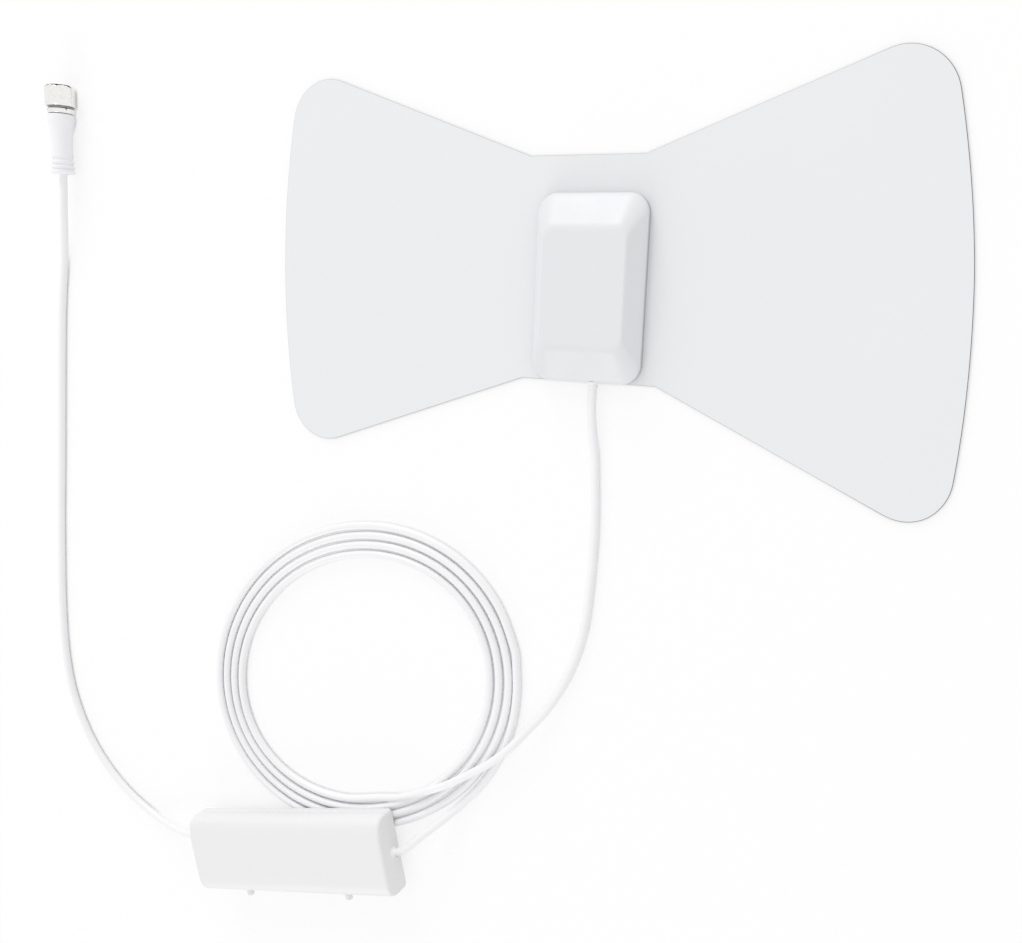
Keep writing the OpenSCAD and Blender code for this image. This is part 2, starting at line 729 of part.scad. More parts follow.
back_sheet();
front_sheet();
left_element();
right_element();
housing_base();
housing_cover();
antenna_board();
ring_core();
left_terminal();
right_terminal();
housing_screws();
lead_relief();
antenna_lead();
lead_coil();
lead_tail();
amp_base();
amp_cover();
amp_board();
amp_shield();
amp_screws();
amp_input_relief();
amp_output_relief();
tv_lead();
plug_grip();
plug_body();
plug_insulator();
centre_pin();
coupling_nut();
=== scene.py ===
"""Looks of an indoor television antenna that lies on a table.

A thin bow-tie panel carries a bevelled housing at its waist. A coaxial lead leaves the housing, lies in an
oval coil and runs to an amplifier box, and a second lead ends in a screw-on plug. Everything is in metres, in
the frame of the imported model: X along the wings, Y towards the panel's upper edge, Z up.
"""

import logging
import math
from collections.abc import Callable, Sequence
from dataclasses import dataclass
from enum import Enum

import bmesh
import bpy
from mathutils import Matrix, Vector


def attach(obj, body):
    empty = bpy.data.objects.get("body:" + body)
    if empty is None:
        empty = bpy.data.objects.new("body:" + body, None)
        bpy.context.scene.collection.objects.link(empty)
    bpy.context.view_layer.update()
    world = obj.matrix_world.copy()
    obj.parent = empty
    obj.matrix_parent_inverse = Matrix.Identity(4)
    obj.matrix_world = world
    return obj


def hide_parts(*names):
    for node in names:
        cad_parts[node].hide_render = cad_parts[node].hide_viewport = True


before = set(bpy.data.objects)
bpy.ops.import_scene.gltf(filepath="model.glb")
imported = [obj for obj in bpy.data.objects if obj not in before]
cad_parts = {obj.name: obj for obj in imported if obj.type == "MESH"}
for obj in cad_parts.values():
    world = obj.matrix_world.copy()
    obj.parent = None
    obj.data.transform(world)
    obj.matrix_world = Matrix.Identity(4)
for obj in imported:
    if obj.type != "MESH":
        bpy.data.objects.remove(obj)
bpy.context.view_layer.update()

log = logging.getLogger("antenna")
MM = 0.001
Point = tuple[float, float, float]
Flat = tuple[float, float]
Colour = tuple[float, float, float]
Piece = bpy.types.Object


# Shader maths


def operator(operation: str, reflected: bool = False) -> Callable[["Wire", "Wire | float"], "Wire"]:
    """A method of Wire that makes one Math node, with the other term first where it is reflected."""

    def method(wire: "Wire", other: "Wire | float") -> "Wire":
        """This value and another through the node."""
        first, second = (other, wire) if reflected else (wire, other)
        return wire.bench.node("ShaderNodeMath", {"operation": operation}, {0: first, 1: second})

    return method


class Wire:
    """One output of a shader node, which turns Python's operators into Math nodes."""

    def __init__(self, bench: "Bench", socket: bpy.types.NodeSocket) -> None:
        """Keeps the socket and the bench that makes its nodes."""
        self.bench = bench
        self.socket = socket

    __add__ = __radd__ = operator("ADD")
    __sub__ = operator("SUBTRACT")
    __rsub__ = operator("SUBTRACT", reflected=True)
    __mul__ = __rmul__ = operator("MULTIPLY")
    __truediv__ = operator("DIVIDE")
    __rtruediv__ = operator("DIVIDE", reflected=True)
    __gt__ = operator("GREATER_THAN")


class Bench:
    """The node tree of one material or world, and the one place where its nodes are made."""

    def __init__(self, tree: bpy.types.NodeTree) -> None:
        """Takes over the tree and empties it."""
        self.tree = tree
        tree.nodes.clear()

    def node(
        self, kind: str, settings: dict | None = None, inputs: dict | None = None, output: int | str = 0,
    ) -> Wire:
        """Makes one node.

        Args:
            kind: the node's type, such as ShaderNodeTexNoise.
            settings: its properties, set first; stops holds a ramp's pairs of place and grey or colour.
            inputs: values or wires for its sockets, by name or number.
            output: name or number of the output that is wanted.

        Returns:
            The wire that leaves that output.
        """
        made = self.tree.nodes.new(kind)
        for key, value in (settings or {}).items():
            if key == "stops":
                self._set_stops(made.color_ramp, value)
            else:
                setattr(made, key, value)
        for key, value in (inputs or {}).items():
            if isinstance(value, Wire):
                self.tree.links.new(value.socket, made.inputs[key])
            else:
                made.inputs[key].default_value = value
        return Wire(self, made.outputs[output])

    @staticmethod
    def _set_stops(ramp: bpy.types.ColorRamp, stops: Sequence[tuple[float, float | Colour]]) -> None:
        """Fills a colour ramp with pairs of place and grey or colour."""
        while len(ramp.elements) < len(stops):
            ramp.elements.new(0.5)
        for element, (place, shade) in zip(ramp.elements, stops):
            colour = (shade,) * 3 if isinstance(shade, (int, float)) else shade
            element.position = place
            element.color = (*colour, 1.0)

    def place(self) -> Wire:
        """Coordinates fixed to the piece, in metres in the model's frame."""
        return self.node("ShaderNodeTexCoord", output="Object")

    def axis(self, letter: str) -> Wire:
        """One of the piece's coordinates, in metres."""
        return self.node("ShaderNodeSeparateXYZ", {}, {0: self.place()}, letter)

    def stretched(self, scale: Point) -> Wire:
        """The piece's coordinates times a scale for each axis."""
        return self.node("ShaderNodeVectorMath", {"operation": "MULTIPLY"}, {0: self.place(), 1: scale})

    def noise(self, scale: float, detail: float = 2.0, vector: Wire | None = None) -> Wire:
        """Smooth noise from 0 to 1, with scale in lumps per metre."""
        return self.node(
            "ShaderNodeTexNoise",
            {"noise_dimensions": "3D"},
            {"Vector": vector or self.place(), "Scale": scale, "Detail": detail, "Roughness": 0.55},
        )

    def ramp(self, value: Wire, stops: Sequence[tuple[float, float | Colour]]) -> Wire:
        """The value through a ramp of greys or colours."""
        return self.node("ShaderNodeValToRGB", {"stops": stops}, {"Fac": value})

    def patches(self, scale: float, detail: float, low: float, high: float) -> Wire:
        """Noise as separate patches, 0 below one level and 1 above the other."""
        return self.ramp(self.noise(scale, detail), ((low, 0.0), (high, 1.0)))

    def blend(self, share: Wire, low: Colour | Wire, high: Colour | Wire) -> Wire:
        """A colour between two, by a share from 0 to 1."""
        ends = [end if isinstance(end, Wire) else (*end, 1.0) for end in (low, high)]
        return self.node("ShaderNodeMix", {"data_type": "RGBA"}, {0: share, 6: ends[0], 7: ends[1]}, output=2)

    def relief(self, height: Wire, distance: float, strength: float = 1.0, under: Wire | None = None) -> Wire:
        """A bumped normal from a height field.

        Args:
            height: the field, from 0 to 1.
            distance: height of its full range, in metres.
            strength: share of the bump that is used.
            under: a coarser bumped normal that this one lies on.

        Returns:
            The wire of the new normal.
        """
        inputs = {"Height": height, "Distance": distance, "Strength": strength}
        if under is not None:
            inputs["Normal"] = under
        return self.node("ShaderNodeBump", {}, inputs)

    def surface(self, inputs: dict) -> None:
        """Ends the tree in one Principled shader with these inputs."""
        shader = self.node("ShaderNodeBsdfPrincipled", {}, inputs)
        self.output(shader)

    def output(self, shader: Wire, kind: str = "ShaderNodeOutputMaterial") -> None:
        """Ends the tree in an output node."""
        end = self.tree.nodes.new(kind)
        self.tree.links.new(shader.socket, end.inputs["Surface"])


# Finishes


def fresh(name: str) -> tuple[bpy.types.Material, Bench]:
    """A new material and the bench of its empty tree."""
    material = bpy.data.materials.new(name)
    material.use_nodes = True
    return material, Bench(material.node_tree)


def tinted(colour: Colour, by: float) -> Colour:
    """The colour made lighter or darker by a factor."""
    return tuple(min(1.0, part * by) for part in colour)


@dataclass(frozen=True)
class Finish:
    """What every finish has: a name, a colour and a roughness."""

    name: str
    colour: Colour
    roughness: float

    def make(self) -> bpy.types.Material:
        """Builds the material."""
        material, bench = fresh(self.name)
        self.wire(bench)
        return material

    def wire(self, bench: Bench) -> None:
        """Fills the material's tree."""
        raise NotImplementedError


@dataclass(frozen=True)
class PrintedFilm(Finish):
    """Satin film of the panel: even, with a very fine tooth and a slow unevenness in its gloss."""

    tooth: float = 6e-6
    sway: float = 6e-5

    def wire(self, bench: Bench) -> None:
        """Slow waviness under a fine tooth, with a faint drift of tone."""
        slow = bench.noise(14.0, 1.5)
        fine = bench.noise(2600.0, 2.0)
        handled = bench.patches(45.0, 4.0, 0.55, 0.75)
        tone = bench.blend(slow, tinted(self.colour, 0.99), tinted(self.colour, 1.006))
        bench.surface({
            "Base Color": bench.blend(handled * 0.25, tone, tinted(self.colour, 0.985)),
            "Roughness": handled * 0.05 + fine * 0.05 + (self.roughness - 0.04),
            "Normal": bench.relief(fine, self.tooth, 0.6, bench.relief(slow, self.sway, 0.5)),
            "IOR": 1.46,
        })


@dataclass(frozen=True)
class CutEdgeAndShade(Finish):
    """Cut edge of the laminate: a grey line round each sheet, partly its own grey and partly painted shadow,
    darkest at the right end by painted shade.
    """

    # dark: colour of the painted shade at the right end
    dark: Colour = (0.16, 0.16, 0.165)
    painted_shade_from: float = 0.085
    painted_shade_run: float = 0.03

    def wire(self, bench: Bench) -> None:
        """Grey, partly painted shadow, that painted shade darkens towards the right end, with a slight
        unevenness.
        """
        # painted shade: its share grows along X towards the right end
        share = bench.ramp((bench.axis("X") - self.painted_shade_from) / self.painted_shade_run, ((0.0, 0.0), (1.0, 1.0)))
        uneven = bench.noise(220.0, 2.0)
        bench.surface({
            "Base Color": bench.blend(share * (uneven * 0.25 + 0.75), self.colour, self.dark),
            "Roughness": uneven * 0.1 + self.roughness,
            "Normal": bench.relief(uneven, 2e-5, 0.5),
        })


@dataclass(frozen=True)
class MouldedPlastic(Finish):
    """Injection-moulded shell: grain, soft sink near ribs, a trace of handling and, at will, painted shade at
    its foot.
    """

    grain: float = 1900.0
    depth: float = 1.1e-5
    hollow: float = 4e-5
    drift: float = 0.012
    foot_painted_shade: float = 1.0
    foot_shade_from: float = 0.0022
    foot_shade_run: float = 0.0016

    def wire(self, bench: Bench) -> None:
        """Grain in two sizes, patchy gloss, a slight drift of tone and painted shade that darkens the foot.
        """
        coarse = bench.noise(self.grain, 2.0)
        fine = bench.noise(self.grain * 2.6, 1.0)
        sink = bench.noise(38.0, 1.0)
        patch = bench.patches(90.0, 3.0, 0.42, 0.7)
        # painted shade: darker colour low on the piece, next to the panel it stands on
        foot = bench.ramp((bench.axis("Z") - self.foot_shade_from) / self.foot_shade_run, ((0.0, 1.0), (1.0, 0.0)))
        low, high = tinted(self.colour, 1 - self.drift), tinted(self.colour, 1 + self.drift * 0.6)
        tone = bench.blend(sink, low, high)
        grain = coarse * 0.7 + fine * 0.3
        bench.surface({
            "Base Color": bench.blend(foot, tone, tinted(self.colour, self.foot_painted_shade)),
            "Roughness": patch * 0.07 + coarse * 0.06 + (self.roughness - 0.05),
            "Normal": bench.relief(grain, self.depth, 0.55, bench.relief(sink, self.hollow, 0.4)),
            "IOR": 1.5,
        })


@dataclass(frozen=True)
class ExtrudedJacket(Finish):
    """Soft vinyl jacket of the leads: smooth, with faint draw lines and slight unevenness."""

    def wire(self, bench: Bench) -> None:
        """Small unevenness from extrusion, with a drift of tone along the lead."""
        along = bench.noise(55.0, 2.0)
        skin = bench.noise(900.0, 2.0)
        rub = bench.patches(160.0, 3.0, 0.5, 0.72)
        bench.surface({
            "Base Color": bench.blend(along, tinted(self.colour, 0.985), tinted(self.colour, 1.01)),
            "Roughness": rub * 0.12 + (self.roughness - 0.03),
            "Normal": bench.relief(skin, 1.2e-5, 0.5, bench.relief(along, 6e-5, 0.4)),
            "IOR": 1.52,
        })


@dataclass(frozen=True)
class SoftMoulding(Finish):
    """Moulded grip and strain reliefs in soft vinyl, matt and slightly dusty."""

    def wire(self, bench: Bench) -> None:
        """Fine matt skin with a pale dusting."""
        skin = bench.noise(1500.0, 3.0)
        cloud = bench.noise(120.0, 2.0)
        bench.surface({
            "Base Color": bench.blend(cloud, tinted(self.colour, 0.985), tinted(self.colour, 1.008)),
            "Roughness": cloud * 0.1 + skin * 0.06 + (self.roughness - 0.07),
            "Normal": bench.relief(skin, 1.4e-5, 0.6),
            "IOR": 1.5,
        })


@dataclass(frozen=True)
class PlatedMetal(Finish):
    """Bright plating over turned metal: tool rings round the plug's axis, thin smears and small nicks."""

    pitch: float = 5200.0
    ring_depth: float = 2.5e-6
    groove: Flat = (0.06245, 0.06325)
    groove_shade_share: float = 0.7
    groove_shade_colour: Colour = (0.03, 0.03, 0.03)

    def wire(self, bench: Bench) -> None:
        """Rings along Y under smears that dull the gloss, and painted shade that darkens the groove before
        the hexagon.
        """
        rings = bench.noise(1.0, 2.0, bench.stretched((40.0, self.pitch, 40.0)))
        smear = bench.patches(700.0, 4.0, 0.45, 0.75)
        nick = bench.patches(2400.0, 2.0, 0.7, 0.78)
        along = bench.axis("Y")
        # painted shade: a dark band across the groove, between two places along Y
        groove_shade = (along > self.groove[0]) - (along > self.groove[1])
        clean = bench.blend(smear * 0.5, self.colour, tinted(self.colour, 0.82))
        bench.surface({
            "Base Color": bench.blend(groove_shade * self.groove_shade_share, clean, self.groove_shade_colour),
            "Metallic": 1.0,
            "Roughness": smear * 0.12 + nick * 0.1 + self.roughness,
            "Normal": bench.relief(rings, self.ring_depth, 0.6, bench.relief(nick, 6e-6, 0.4)),
        })


@dataclass(frozen=True)
class WorkedMetal(Finish):
    """Small metal parts: rolled foil, tin, brass, copper and screws, with a patchy tarnish."""

    tarnish: Colour = (0.3, 0.25, 0.2)
    grain: float = 3000.0

    def wire(self, bench: Bench) -> None:
        """Patchy tarnish over a rolled grain."""
        patch = bench.patches(520.0, 4.0, 0.48, 0.8)
        grain = bench.noise(1.0, 2.0, bench.stretched((self.grain * 0.15, self.grain, self.grain)))
        bench.surface({
            "Base Color": bench.blend(patch * 0.55, self.colour, self.tarnish),
            "Metallic": 1.0,
            "Roughness": patch * 0.18 + grain * 0.08 + self.roughness,
            "Normal": bench.relief(grain, 6e-6, 0.5),
        })


@dataclass(frozen=True)
class CircuitBoard(Finish):
    """Solder mask over copper tracks, with tinned pads in rows."""

    track: Colour = (0.1, 0.32, 0.14)
    pad: Colour = (0.62, 0.6, 0.55)

    def wire(self, bench: Bench) -> None:
        """Tracks from a brick pattern, pads from a cell pattern."""
        tracks = bench.node(
            "ShaderNodeTexBrick",
            {"offset": 0.5, "offset_frequency": 3},
            {"Vector": bench.place(), "Color1": (1, 1, 1, 1), "Color2": (1, 1, 1, 1), "Mortar": (0, 0, 0, 1),
             "Scale": 260.0, "Mortar Size": 0.06, "Brick Width": 1.6, "Row Height": 0.7},
        )
        cells = bench.node(
            "ShaderNodeTexVoronoi",
            {"feature": "F1"},
            {"Vector": bench.place(), "Scale": 420.0, "Randomness": 0.35},
        )
        pads = bench.ramp(cells, ((0.13, 1.0), (0.17, 0.0)))
        mask = bench.blend(tracks, self.track, self.colour)
        bench.surface({
            "Base Color": bench.blend(pads, mask, self.pad),
            "Metallic": pads * 0.9,
            "Roughness": self.roughness - pads * 0.06,
            "Normal": bench.relief(tracks, 2e-5, 0.6),
        })


@dataclass(frozen=True)
class SinteredFerrite(Finish):
    """Dark pressed ferrite with a granular skin and pale chips."""

    def wire(self, bench: Bench) -> None:
        """Granular skin with a few pale chips."""
        grain = bench.noise(3200.0, 4.0)
        chips = bench.patches(900.0, 2.0, 0.66, 0.74)
        bench.surface({
            "Base Color": bench.blend(chips, self.colour, (0.16, 0.16, 0.17)),
            "Roughness": grain * 0.2 + self.roughness,
            "Normal": bench.relief(grain, 3e-5, 0.7),
        })


class Kind(Enum):
    """The finishes of this antenna."""

    FILM = PrintedFilm("panel_film", (0.845, 0.86, 0.875), 0.42)
    BACK_FILM = PrintedFilm("panel_back_film", (0.80, 0.812, 0.825), 0.5)
    # cut edge: grey with painted shadow, and painted shade towards the right end
    CUT_EDGE_AND_SHADE = CutEdgeAndShade("panel_cut_edge_and_shade", (0.6, 0.605, 0.61), 0.5)
    # the shell's foot is darkened by painted shade
    SHELL = MouldedPlastic("housing_plastic", (0.81, 0.815, 0.835), 0.4, foot_painted_shade=0.55)
    BASE = MouldedPlastic("base_plastic", (0.81, 0.815, 0.835), 0.42)
    BOX = MouldedPlastic("box_plastic", (0.86, 0.859, 0.863), 0.44, grain=1600.0)
    JACKET = ExtrudedJacket("lead_jacket", (0.94, 0.935, 0.95), 0.34)
    SOFT = SoftMoulding("soft_vinyl", (0.95, 0.94, 0.96), 0.5)
    NICKEL = PlatedMetal("bright_nickel", (0.88, 0.87, 0.85), 0.11)
    DULL_NICKEL = PlatedMetal("dull_nickel", (0.62, 0.61, 0.585), 0.26)
    FOIL = WorkedMetal("antenna_foil", (0.86, 0.86, 0.87), 0.3, (0.6, 0.6, 0.6))
    TIN = WorkedMetal("tinned_can", (0.72, 0.72, 0.7), 0.3, (0.45, 0.44, 0.41))
    BRASS = WorkedMetal("rivet_brass", (0.78, 0.58, 0.27), 0.28, (0.4, 0.27, 0.12))
    STEEL = WorkedMetal("screw_steel", (0.6, 0.61, 0.62), 0.3, (0.3, 0.29, 0.28))
    COPPER = WorkedMetal("conductor_copper", (0.85, 0.5, 0.33), 0.22, (0.42, 0.2, 0.12))
    BOARD = CircuitBoard("circuit_board", (0.035, 0.17, 0.07), 0.34)
    FERRITE = SinteredFerrite("ferrite_core", (0.045, 0.046, 0.05), 0.5)
    CORE = SoftMoulding("cable_core", (0.86, 0.85, 0.8), 0.42)


class Cupboard:
    """Makes each finish once and hands it out."""

    def __init__(self) -> None:
        """Starts with no material made."""
        self.made: dict[Kind, bpy.types.Material] = {}

    def take(self, kind: Kind) -> bpy.types.Material:
        """The material of a finish."""
        if kind not in self.made:
            self.made[kind] = kind.value.make()
        return self.made[kind]

    def dress(self, piece: Piece, kind: Kind, slot: str) -> Piece:
        """Gives a piece its finish."""
        piece.data.materials.clear()
        piece.data.materials.append(self.take(kind))
        return piece


cupboard = Cupboard()


# Mesh making


def placed(name: str, data: bpy.types.ID) -> Piece:
    """A new object of this data, in the scene."""
    made = bpy.data.objects.new(name, data)
    bpy.context.scene.collection.objects.link(made)
    return made


def shift(x: float, y: float, z: float = 0.0) -> Matrix:
    """A move, in mm."""
    return Matrix.Translation((x * MM, y * MM, z * MM))


def spin(degrees: float, axis: str) -> Matrix:
    """A turn about an axis."""
    return Matrix.Rotation(math.radians(degrees), 4, axis)


def weld(bm: bmesh.types.BMesh) -> bmesh.types.BMesh:
    """Joins points that lie on one another."""
    bmesh.ops.remove_doubles(bm, verts=bm.verts, dist=1e-7)
    return bm


def crease(bm: bmesh.types.BMesh, sharp: float) -> None:
    """Marks the edges that turn by more than so many degrees, and open ones, as sharp."""
    limit = math.radians(sharp)
    for edge in bm.edges:
        edge.smooth = len(edge.link_faces) == 2 and edge.calc_face_angle(0.0) < limit


def piece_of(name: str, bm: bmesh.types.BMesh, sharp: float = 40.0) -> Piece:
    """Ends a mesh: outward faces, smooth shading and sharp edges by angle.

    Args:
        name: the piece's name.
        bm: the finished mesh.
        sharp: edges that turn by more than this many degrees stay sharp.

    Returns:
        The new object.
    """
    bmesh.ops.recalc_face_normals(bm, faces=bm.faces)
    for face in bm.faces:
        face.smooth = True
    crease(bm, sharp)
    mesh = bpy.data.meshes.new(name)
    bm.to_mesh(mesh)
    bm.free()
    return placed(name, mesh)


def weighted(piece: Piece) -> Piece:
    """Lets the broad faces set the shading, so that only the soft edges look round."""
    modifier = piece.modifiers.new("broad_faces", "WEIGHTED_NORMAL")
    modifier.keep_sharp = True
    modifier.weight = 80
    return piece


def skin(rings: Sequence[Sequence[Point]], ends: bool = True) -> bmesh.types.BMesh:
    """Quads over a row of rings, each with as many points.

    Args:
        rings: the rings in order, in metres.
        ends: closes the first and the last ring with a face.

    Returns:
        The mesh.
    """
    bm = bmesh.new()
    rows = [[bm.verts.new(point) for point in ring] for ring in rings]
    count = len(rows[0])
    for low, high in zip(rows, rows[1:]):
        for k in range(count):
            bm.faces.new((low[k], low[(k + 1) % count], high[(k + 1) % count], high[k]))
    if ends:
        bm.faces.new(rows[0][::-1])
        bm.faces.new(rows[-1])
    return bm


def near(r: float, h: float, *offsets: Flat) -> list[Flat]:
    """Points of a section by their offsets from one place, all in mm."""
    return [(r + dr, h + dh) for dr, dh in offsets]


def ring_of(radii: Sequence[float], height: float) -> list[Point]:
    """One ring about Z through radii at even angles, in mm, as points in metres."""
    ways = [2 * math.pi * k / len(radii) for k in range(len(radii))]
    return [(r * MM * math.cos(a), r * MM * math.sin(a), height * MM) for r, a in zip(radii, ways)]


def turned(profile: Sequence[Flat], steps: int = 64, closed: bool = True) -> list[list[Point]]:
    """Rings for a piece turned about Z.

    Args:
        profile: pairs of radius and height, in mm, round the section.
        steps: points in each ring.
        closed: the last ring joins the first again.

    Returns:
        The rings, in metres.
    """
    line = list(profile) + ([profile[0]] if closed else [])
    return [ring_of([r] * steps, h) for r, h in line]


def turned_mesh(profile: Sequence[Flat], steps: int = 64) -> bmesh.types.BMesh:
    """A closed piece turned about Z from a section that goes all round the material, in mm."""
    return weld(skin(turned(profile, steps), ends=False))


def rect_ring(w: float, h: float, r: float, z: float, steps: int = 10) -> list[Point]:
    """One ring of a rounded rectangle, in mm, as points in metres."""
    ring = []
    for quarter in range(4):
        x = (w / 2 - r) * (1 if quarter in (0, 3) else -1)
        y = (h / 2 - r) * (1 if quarter < 2 else -1)
        for i in range(steps + 1):
            a = math.radians(90 * (quarter + i / steps))
            ring.append(((x + r * math.cos(a)) * MM, (y + r * math.sin(a)) * MM, z * MM))
    return ring


def cut_with(piece: Piece, tools: Sequence[Piece]) -> Piece:
    """Takes tool shapes out of a piece and deletes the tools."""
    for tool in tools:
        modifier = piece.modifiers.new("cut", "BOOLEAN")
        modifier.operation = "DIFFERENCE"
        modifier.solver = "EXACT"
        modifier.object = tool
    depsgraph = bpy.context.evaluated_depsgraph_get()
    mesh = bpy.data.meshes.new_from_object(piece.evaluated_get(depsgraph))
    piece.modifiers.clear()
    piece.data = mesh
    for tool in tools:
        bpy.data.objects.remove(tool)
    bm = bmesh.new()
    bm.from_mesh(mesh)
    crease(bm, 40.0)
    bm.to_mesh(mesh)
    bm.free()
    return piece


def is_level(face: bpy.types.MeshPolygon) -> bool:
    """Whether a face lies level."""
    return abs(face.normal.z) > 0.999


def moved(piece: Piece, matrix: Matrix) -> Piece:
    """Puts the matrix into the mesh, so that the object stays at the origin."""
    piece.data.transform(matrix)
    return piece


def plate(
    name: str, outline: Sequence[Flat], hole: Sequence[Flat], low: float, high: float, soft: float,
) -> Piece:
    """A flat sheet with a hole and softened edges.

    Args:
        name: the piece's name.
        outline: its outer points, in mm.
        hole: the points of the hole, in mm.
        low: height of its underside, in mm.
        high: height of its upper side, in mm.
        soft: radius of its edges, in mm.

    Returns:
        The new object.
    """
    curve = bpy.data.curves.new(name + "_outline", "CURVE")
    curve.dimensions = "2D"
    curve.fill_mode = "BOTH"
    curve.bevel_depth = soft * MM
    curve.bevel_resolution = 2
    curve.offset = -soft * MM
    curve.extrude = (high - low) / 2 * MM - soft * MM
    for ring in (outline, hole):
        spline = curve.splines.new("POLY")
        spline.points.add(len(ring) - 1)
        spline.use_cyclic_u = True
        for point, (x, y) in zip(spline.points, ring):
            point.co = (x * MM, y * MM, 0.0, 1.0)
    shape = placed(name + "_outline", curve)
    bpy.context.view_layer.update()
    mesh = bpy.data.meshes.new_from_object(shape.evaluated_get(bpy.context.evaluated_depsgraph_get()))
    bpy.data.objects.remove(shape)
    bm = bmesh.new()
    bm.from_mesh(mesh)
    bpy.data.meshes.remove(mesh)
    bmesh.ops.translate(bm, verts=bm.verts, vec=(0, 0, (low + high) / 2 * MM))
    piece = piece_of(name, weld(bm), 35.0)
    owners: dict[tuple[int, int], set[bool]] = {}
    for face in piece.data.polygons:
        for key in face.edge_keys:
            owners.setdefault(key, set()).add(is_level(face))
    for edge in piece.data.edges:
        if len(owners.get(edge.key, set())) == 2:
            edge.use_edge_sharp = True
    return piece


# The panel


@dataclass
class Panel:
    """Bow-tie panel: a front and a back sheet bonded face to face, with a window at the housing."""

    span: float = 251.5
    tip_h: float = 149.0
    end_bulge: float = 8.0
    corner_r: float = 16.0
    end_lean: float = 0.085
    low_growth: float = 0.125
    waist_run: float = 8.0
    neck_w: float = 42.0
    neck_h: float = 78.0
    sheet_t: float = 0.5
    edge: float = 0.24
    window: Flat = (30.2, 55.2)
    window_at: Flat = (4.0, -6.5)
    window_r: float = 7.0 / 3

    def half_outline(self, corner_steps: int = 18, end_steps: int = 40) -> list[Flat]:
        """Outline of the right wing, from the neck's upper corner round to its lower one."""
        a, hn = self.neck_w / 2, self.neck_h / 2
        x0, t, b, r = self.span / 2 - self.end_bulge, self.tip_h / 2, self.end_bulge, self.corner_r
        slope = (t - hn) / (x0 - a)
        end_r = (t * t + b * b) / (2 * b)
        cx = x0 + b - end_r
        c0 = hn - slope * a - r * math.sqrt(1 + slope * slope)
        qa, qb = 1 + slope * slope, 2 * (slope * c0 - cx)
        qc = cx * cx + c0 * c0 - (end_r - r) ** 2
        px = (-qb + math.sqrt(qb * qb - 4 * qa * qc)) / (2 * qa)
        py = slope * px + c0
        first = math.pi / 2 + math.atan(slope)
        last = math.atan2(py, px - cx)
        turns = [first + (last - first) * i / corner_steps for i in range(corner_steps + 1)]
        corner = [(px + r * math.cos(g), py + r * math.sin(g)) for g in turns]
        bowed = [last * (1 - 2 * i / end_steps) for i in range(1, end_steps)]
        end = [(cx + end_r * math.cos(g), end_r * math.sin(g)) for g in bowed]
        return [(a, hn), *corner, *end, *[(x, -y) for x, y in reversed(corner)], (a, -hn)]

    def leaned(self, points: Sequence[Flat]) -> list[Flat]:
        """The right wing's form of an outline, with a leaning end and a deeper lower half."""
        neck, tip = self.neck_w / 2, self.span / 2 - self.end_bulge
        made = []
        for x, y in points:
            share = max(0.0, (x - neck) / (tip - neck))
            run = self.waist_run * max(0.0, 1 - share) if y < 0 else 0.0
            growth = self.low_growth * share if y < 0 else 0.0
            made.append((x + run - self.end_lean * share * y, y * (1 + growth)))
        return made

    def outline(self) -> list[Flat]:
        """The whole bow tie, clockwise from the neck's upper right corner."""
        wing = self.half_outline()
        return self.leaned(wing) + [(-x, y) for x, y in reversed(wing)]

    def window_ring(self) -> list[Flat]:
        """The opening that the housing's base fills."""
        ring = rect_ring(self.window[0], self.window[1], self.window_r, 0.0)
        return [(x / MM + self.window_at[0], y / MM + self.window_at[1]) for x, y, _ in ring]

    def build(self) -> list[Piece]:
        """Makes both sheets."""
        t = self.sheet_t
        outline, hole = self.outline(), self.window_ring()
        back = plate("panel_back_sheet", outline, hole, 0.0, t, self.edge)
        front = plate("panel_front_sheet", outline, hole, t, 2 * t, self.edge)
        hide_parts("back_sheet")
        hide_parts("front_sheet")
        return [self.dress(back, Kind.BACK_FILM), self.dress(front, Kind.FILM)]

    def dress(self, piece: Piece, kind: Kind) -> Piece:
        """Puts the film on a sheet, with its cut edge in grey and painted shadow, and lets it ride on the
        root.
        """
        cupboard.dress(piece, kind, "sheet_white")
        piece.data.materials.append(cupboard.take(Kind.CUT_EDGE_AND_SHADE))
        for face in piece.data.polygons:
            face.material_index = int(not is_level(face))
        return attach(piece, "root")


# The housing


